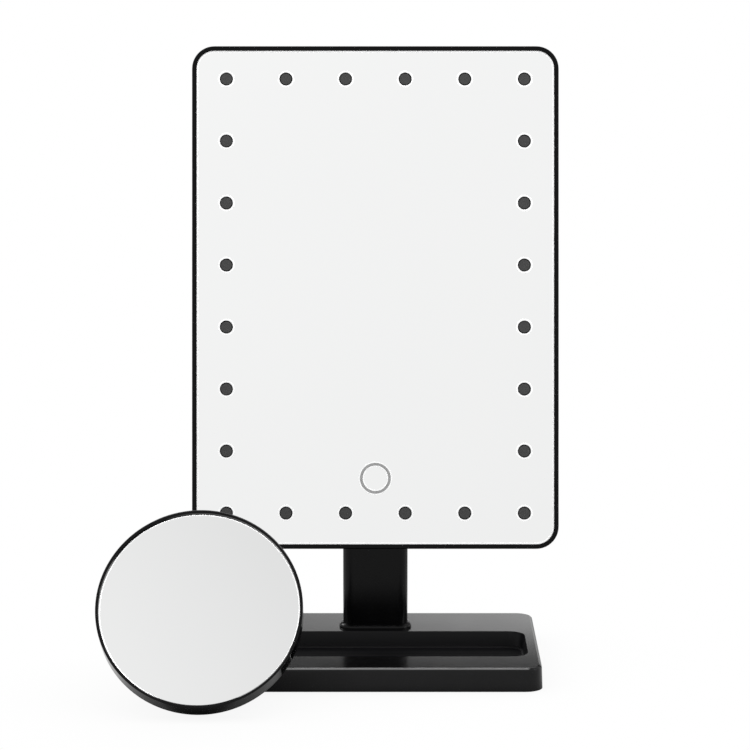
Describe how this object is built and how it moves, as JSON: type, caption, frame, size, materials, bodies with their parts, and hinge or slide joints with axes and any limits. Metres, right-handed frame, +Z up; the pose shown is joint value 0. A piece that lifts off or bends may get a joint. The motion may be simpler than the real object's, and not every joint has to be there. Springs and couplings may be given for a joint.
{
  "type": "countertop mirror",
  "caption": "Tilting rectangular lighted mirror on a neck and tray base, with a loose round magnifying mirror on a suction swivel mount.",
  "frame": {"origin": "centre of the base's footprint on the table plane, on the anti-slip sheet's underside", "axes": "+Z up, +X to the right of someone facing the mirror, -Y towards that person"},
  "size_m": [0.245, 0.1746, 0.3336],
  "materials": {
    "gloss_black": "glossy black moulded ABS",
    "satin_black": "satin black moulded ABS",
    "shell_black": "black moulded ABS, soft sheen",
    "mirror": "silvered glass",
    "window": "frosted light window",
    "touch_line": "etched grey line",
    "tape": "double-sided foam tape",
    "board": "green circuit board",
    "board_white": "white circuit board",
    "led": "white LED package",
    "steel": "zinc-plated steel",
    "dark_steel": "black steel",
    "copper": "copper foil",
    "nickel": "nickel-plated spring steel",
    "cell": "plain jacket of a dry cell",
    "chip": "moulded components",
    "pad": "anti-slip sheet",
    "foam": "foam ring",
    "suction": "soft vinyl",
    "knob": "satin dark grey",
    "fibre": "friction washer"
  },
  "bodies": {
    "base": {"base_tray": "satin_black", "base_bottom": "satin_black", "base_screws": "dark_steel", "base_weights": "steel", "foot_pad": "pad", "neck_column": "gloss_black", "neck_collar": "gloss_black", "neck_screws": "steel"},
    "head": {"front_bezel": "gloss_black", "mirror_glass": "mirror", "light_windows": "window", "touch_ring": "touch_line", "glass_tape": "tape", "led_strip_left": "board_white", "led_strip_right": "board_white", "led_strip_top": "board_white", "led_strip_bottom": "board_white", "leds": "led", "rear_shell": "shell_black", "shell_screws": "dark_steel", "battery_cells": "cell", "battery_contacts": "nickel", "battery_springs": "nickel", "control_board": "board", "board_components": "chip", "switch_body": "steel", "power_socket": "nickel", "touch_electrode": "copper", "touch_board": "board", "hinge_bracket": "gloss_black", "bracket_screws": "dark_steel", "hinge_pin": "steel", "hinge_nut": "steel", "friction_washers": "fibre", "hinge_caps": "gloss_black"},
    "battery_door": {"battery_cover": "shell_black"},
    "power_switch": {"switch_knob": "knob"},
    "spot_mirror": {"spot_rim": "gloss_black", "spot_glass": "mirror", "spot_shell": "gloss_black", "spot_pad": "foam", "socket_retainer": "shell_black"},
    "suction_mount": {"ball_stud": "shell_black", "suction_cup": "suction"}
  },
  "joints": [
    {"name": "head_tilt", "type": "hinge", "parent": "base", "child": "head", "pos_m": [0, 0.0311, 0.11], "axis": [-1, 0, 0], "range_deg": [-14, 35]},
    {"name": "battery_cover_slide", "type": "slide", "parent": "head", "child": "battery_door", "axis": [0, 0.1702, 0.9854], "range_m": [0, 0.07]},
    {"name": "power_switch_slide", "type": "slide", "parent": "head", "child": "power_switch", "axis": [1, 0, 0], "range_m": [0, 0.003]},
    {"name": "spot_mirror_pull", "type": "slide", "parent": "base", "child": "spot_mirror", "axis": [0, -1, 0], "range_m": [0, 0.12]},
    {"name": "suction_mount_tilt", "type": "hinge", "parent": "spot_mirror", "child": "suction_mount", "pos_m": [-0.0912, -0.0693, 0.04217], "axis": [1, 0, 0], "range_deg": [0, 15]}
  ]
}
